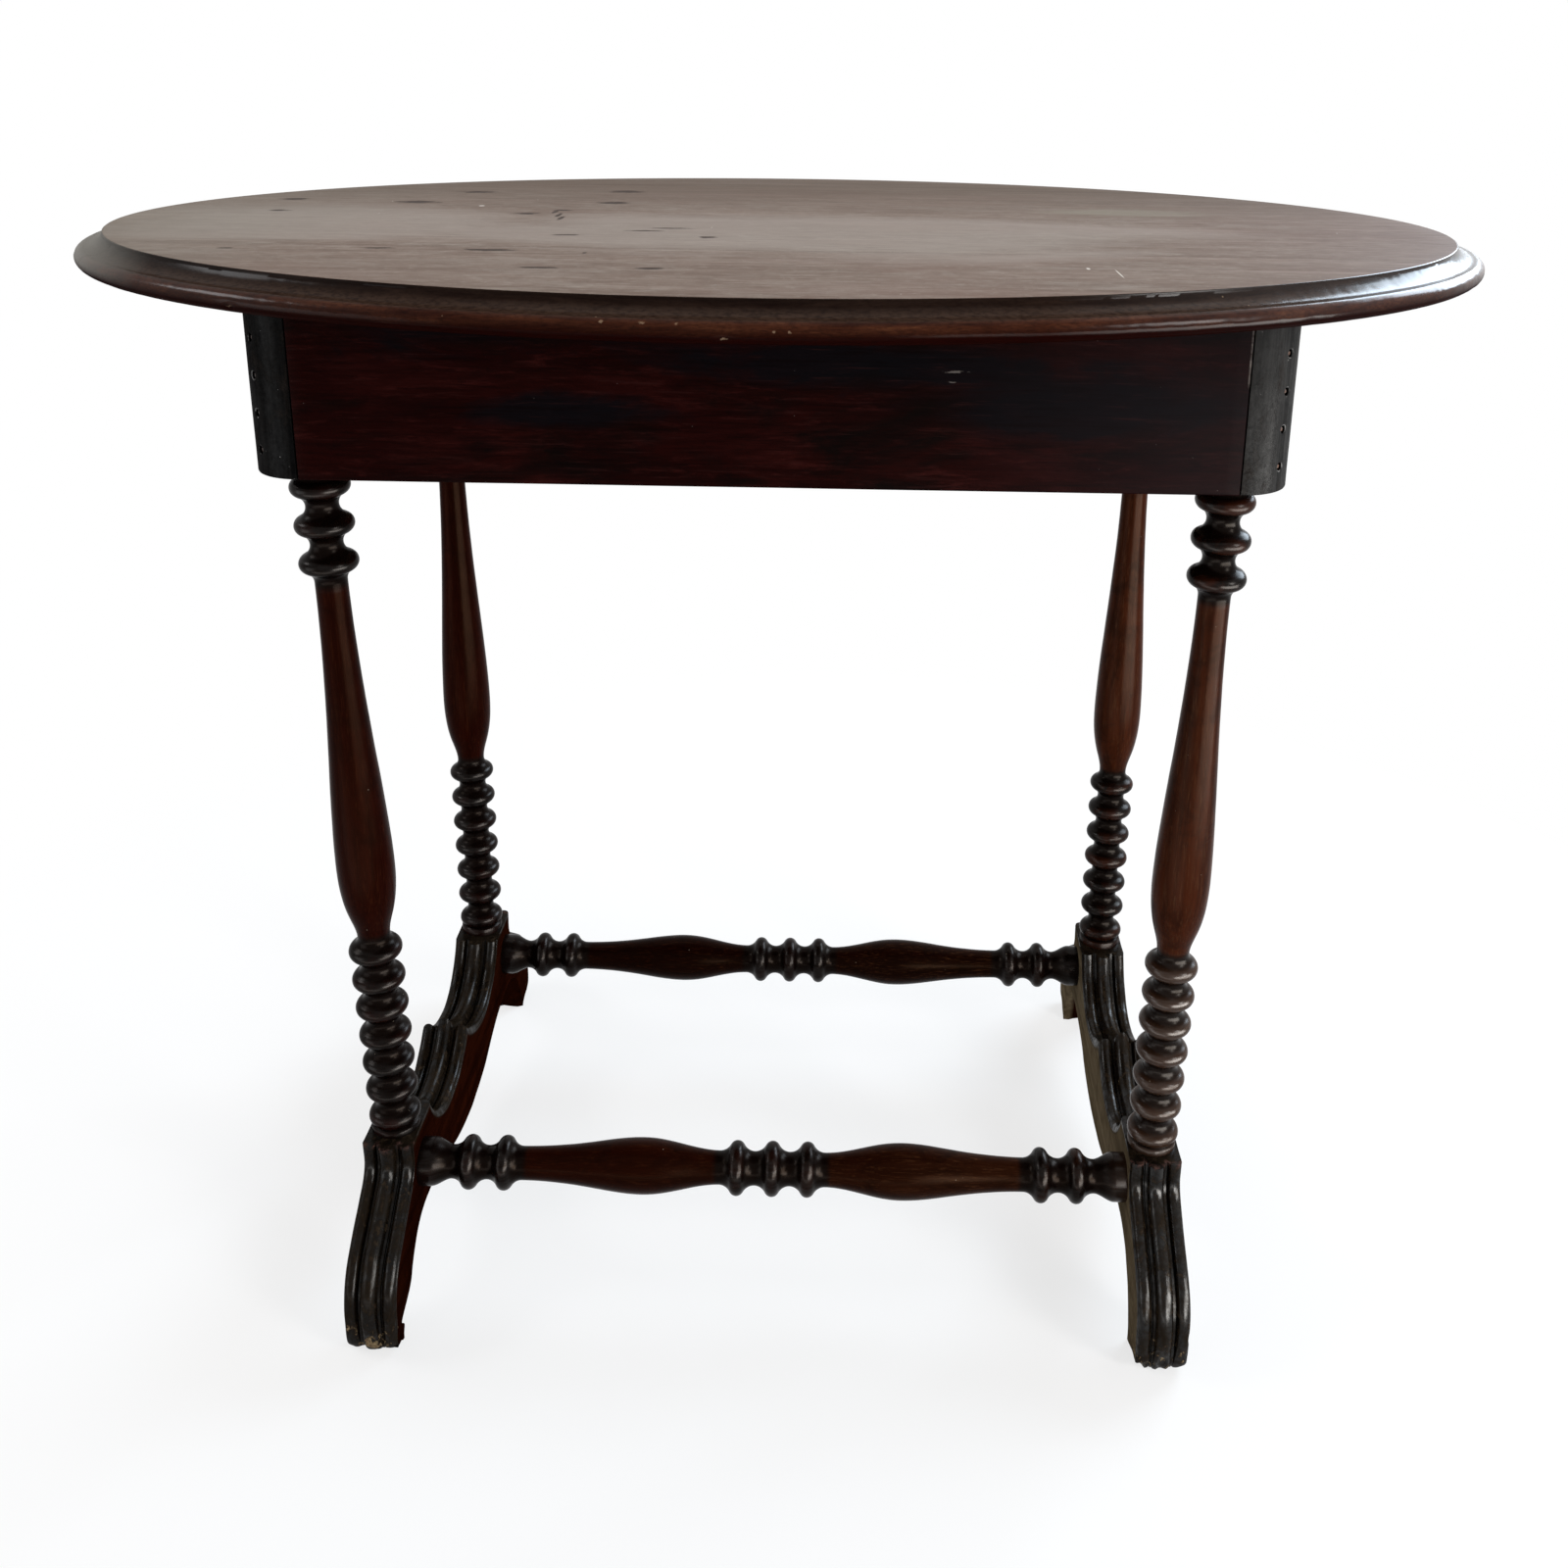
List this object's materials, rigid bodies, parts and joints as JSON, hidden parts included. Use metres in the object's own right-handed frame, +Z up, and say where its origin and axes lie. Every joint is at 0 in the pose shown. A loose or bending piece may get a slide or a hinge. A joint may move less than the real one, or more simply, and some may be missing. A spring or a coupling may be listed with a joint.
{
  "type": "tavern table",
  "caption": "Oval wooden tavern table: moulded top on a round-cornered apron, bobbin-turned raking legs, reeded arched trestle feet and turned stretchers.",
  "frame": {"origin": "on the floor, midway between the feet, under the middle of the oval top", "axes": "+Z up, +X along the length of the oval top, -Y towards the front seen in the picture"},
  "size_m": [0.8899, 0.681, 0.735],
  "materials": {
    "top_wood": "dusty matt grey-brown",
    "apron_wood": "dark red-brown, satin",
    "corner_wood": "nearly black, satin",
    "inner_wood": "raw",
    "leg_wood": "dark red-brown, semi-gloss",
    "trestle_wood": "dark brown, semi-gloss",
    "stretcher_wood": "dark red-brown, semi-gloss",
    "nail_iron": "rusted"
  },
  "bodies": {
    "root": {"top_board_front": "top_wood", "top_board_middle": "top_wood", "top_board_rear": "top_wood", "apron_front": "apron_wood", "apron_rear": "apron_wood", "apron_left": "apron_wood", "apron_right": "apron_wood", "corner_front_left": "corner_wood", "corner_front_right": "corner_wood", "corner_rear_left": "corner_wood", "corner_rear_right": "corner_wood", "bearer_left": "inner_wood", "bearer_right": "inner_wood", "corner_blocks": "inner_wood", "glue_blocks": "inner_wood", "leg_front_left": "leg_wood", "leg_front_right": "leg_wood", "leg_rear_left": "leg_wood", "leg_rear_right": "leg_wood", "trestle_left": "trestle_wood", "trestle_right": "trestle_wood", "stretcher_front": "stretcher_wood", "stretcher_rear": "stretcher_wood", "corner_nails": "nail_iron"}
  },
  "joints": []
}
